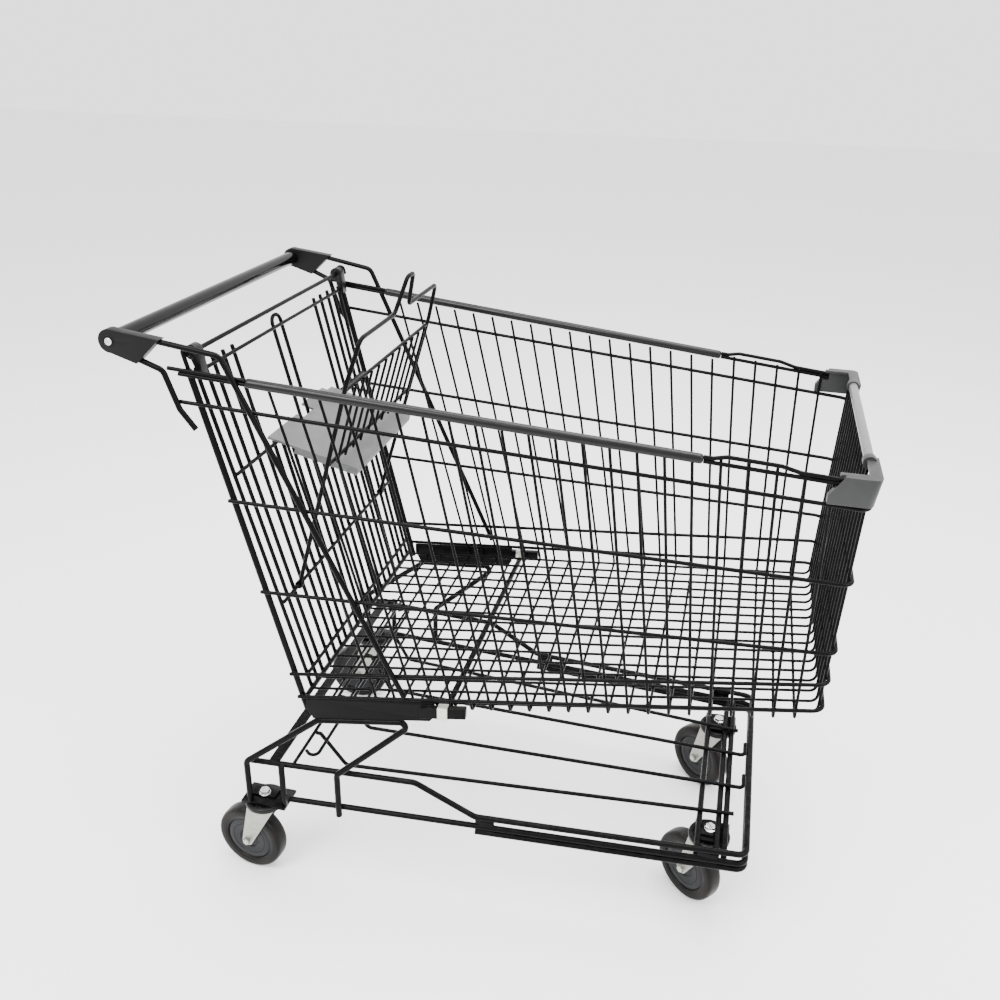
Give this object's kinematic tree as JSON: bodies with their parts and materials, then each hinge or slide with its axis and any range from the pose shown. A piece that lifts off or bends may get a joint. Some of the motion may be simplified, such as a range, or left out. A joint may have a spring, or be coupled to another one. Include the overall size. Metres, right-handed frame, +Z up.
{
  "type": "shopping trolley",
  "caption": "Wire shopping trolley on swivel casters, with a tapered basket, a swinging rear gate, a folding child seat, a push handle and a low front tray.",
  "frame": {"origin": "on the floor under the middle of the trolley's length and width", "axes": "+X towards the front bumper, +Y to the trolley's left, +Z up"},
  "size_m": [1.067, 0.6194, 1.0262],
  "materials": {
    "black_steel": "semi-gloss black coating",
    "rim_steel": "semi-gloss black coating",
    "handle_gloss": "gloss black",
    "screw_steel": "bright",
    "bracket_plastic": "fine grain",
    "bumper_plastic": "fine grain",
    "tube_grey": "satin",
    "plate_plastic": "satin",
    "band_metal": "satin",
    "bolt_chrome": "bright",
    "guard_plastic": "satin",
    "zinc": "zinc plated",
    "axle_zinc": "zinc plated",
    "hub_plastic": "satin",
    "tyre": "soft tread",
    "hinge_plastic": "satin",
    "seat_plastic": "fine grain"
  },
  "bodies": {
    "frame": {"basket_floor": "black_steel", "bottom_rail": "black_steel", "caster_guards": "guard_plastic", "caster_mounts": "black_steel", "corner_bumper_left": "bumper_plastic", "corner_bumper_right": "bumper_plastic", "cross_bars": "black_steel", "front_cross_bars": "black_steel", "front_grid": "black_steel", "front_tube": "tube_grey", "handle_bracket_left": "bracket_plastic", "handle_bracket_right": "bracket_plastic", "handle_screws": "screw_steel", "handle_tube": "handle_gloss", "hinge_bar": "black_steel", "kingpins": "bolt_chrome", "plate_bands": "band_metal", "rail_posts": "black_steel", "rear_leg_left": "black_steel", "rear_leg_right": "black_steel", "rim_tube_left": "rim_steel", "rim_tube_right": "rim_steel", "rim_wires_left": "black_steel", "rim_wires_right": "black_steel", "side_plate_left": "plate_plastic", "side_plate_right": "plate_plastic", "side_rails_left": "black_steel", "side_rails_right": "black_steel", "side_wires_left": "black_steel", "side_wires_right": "black_steel", "support_frame_left": "black_steel", "support_frame_right": "black_steel", "support_hook_left": "black_steel", "support_hook_right": "black_steel", "tray_wires": "black_steel", "upper_rail": "black_steel", "upright_left": "black_steel", "upright_right": "black_steel"},
    "caster_rear_left": {"fork_rear_left": "zinc", "axle_rear_left": "axle_zinc"},
    "wheel_rear_left": {"wheel_hub_rear_left": "hub_plastic", "tyre_rear_left": "tyre"},
    "caster_rear_right": {"fork_rear_right": "zinc", "axle_rear_right": "axle_zinc"},
    "wheel_rear_right": {"wheel_hub_rear_right": "hub_plastic", "tyre_rear_right": "tyre"},
    "caster_front_left": {"fork_front_left": "zinc", "axle_front_left": "axle_zinc"},
    "wheel_front_left": {"wheel_hub_front_left": "hub_plastic", "tyre_front_left": "tyre"},
    "caster_front_right": {"fork_front_right": "zinc", "axle_front_right": "axle_zinc"},
    "wheel_front_right": {"wheel_hub_front_right": "hub_plastic", "tyre_front_right": "tyre"},
    "gate": {"gate_frame": "black_steel", "gate_wires": "black_steel", "hinge_blocks": "hinge_plastic"},
    "seat": {"seat_plate": "seat_plastic"},
    "seat_back": {"seat_back_frame": "black_steel", "seat_back_wires": "black_steel"}
  },
  "joints": [
    {"name": "swivel_rear_left", "type": "hinge", "parent": "frame", "child": "caster_rear_left", "pos_m": [-0.37, 0.266, 0.14998], "axis": [0, 0, 1], "continuous": true},
    {"name": "spin_rear_left", "type": "hinge", "parent": "caster_rear_left", "child": "wheel_rear_left", "pos_m": [-0.40381, 0.26245, 0.0625], "axis": [-0.1045, 0.9945, 0], "continuous": true},
    {"name": "swivel_rear_right", "type": "hinge", "parent": "frame", "child": "caster_rear_right", "pos_m": [-0.37, -0.266, 0.14998], "axis": [0, 0, 1], "continuous": true},
    {"name": "spin_rear_right", "type": "hinge", "parent": "caster_rear_right", "child": "wheel_rear_right", "pos_m": [-0.40375, -0.26186, 0.0625], "axis": [0.1219, 0.9925, 0], "continuous": true},
    {"name": "swivel_front_left", "type": "hinge", "parent": "frame", "child": "caster_front_left", "pos_m": [0.384, 0.151, 0.14998], "axis": [0, 0, 1], "continuous": true},
    {"name": "spin_front_left", "type": "hinge", "parent": "caster_front_left", "child": "wheel_front_left", "pos_m": [0.35795, 0.17286, 0.0625], "axis": [0.6428, 0.766, 0], "continuous": true},
    {"name": "swivel_front_right", "type": "hinge", "parent": "frame", "child": "caster_front_right", "pos_m": [0.384, -0.151, 0.14998], "axis": [0, 0, 1], "continuous": true},
    {"name": "spin_front_right", "type": "hinge", "parent": "caster_front_right", "child": "wheel_front_right", "pos_m": [0.35795, -0.12915, 0.0625], "axis": [0.6428, 0.766, 0], "continuous": true},
    {"name": "gate_hinge", "type": "hinge", "parent": "frame", "child": "gate", "pos_m": [-0.41301, 0, 0.953], "axis": [0, -1, 0], "range_deg": [0, 70]},
    {"name": "seat_back_hinge", "type": "hinge", "parent": "gate", "child": "seat_back", "pos_m": [-0.31335, 0, 0.54951], "axis": [0, -1, 0], "range_deg": [0, 26]},
    {"name": "seat_plate_hinge", "type": "hinge", "parent": "gate", "child": "seat", "pos_m": [-0.36723, 0, 0.76651], "axis": [0, 1, 0], "range_deg": [0, 56]}
  ],
  "couplings": [
    {"joint": "seat_plate_hinge", "follows": "seat_back_hinge", "ratio": 2.1537}
  ]
}
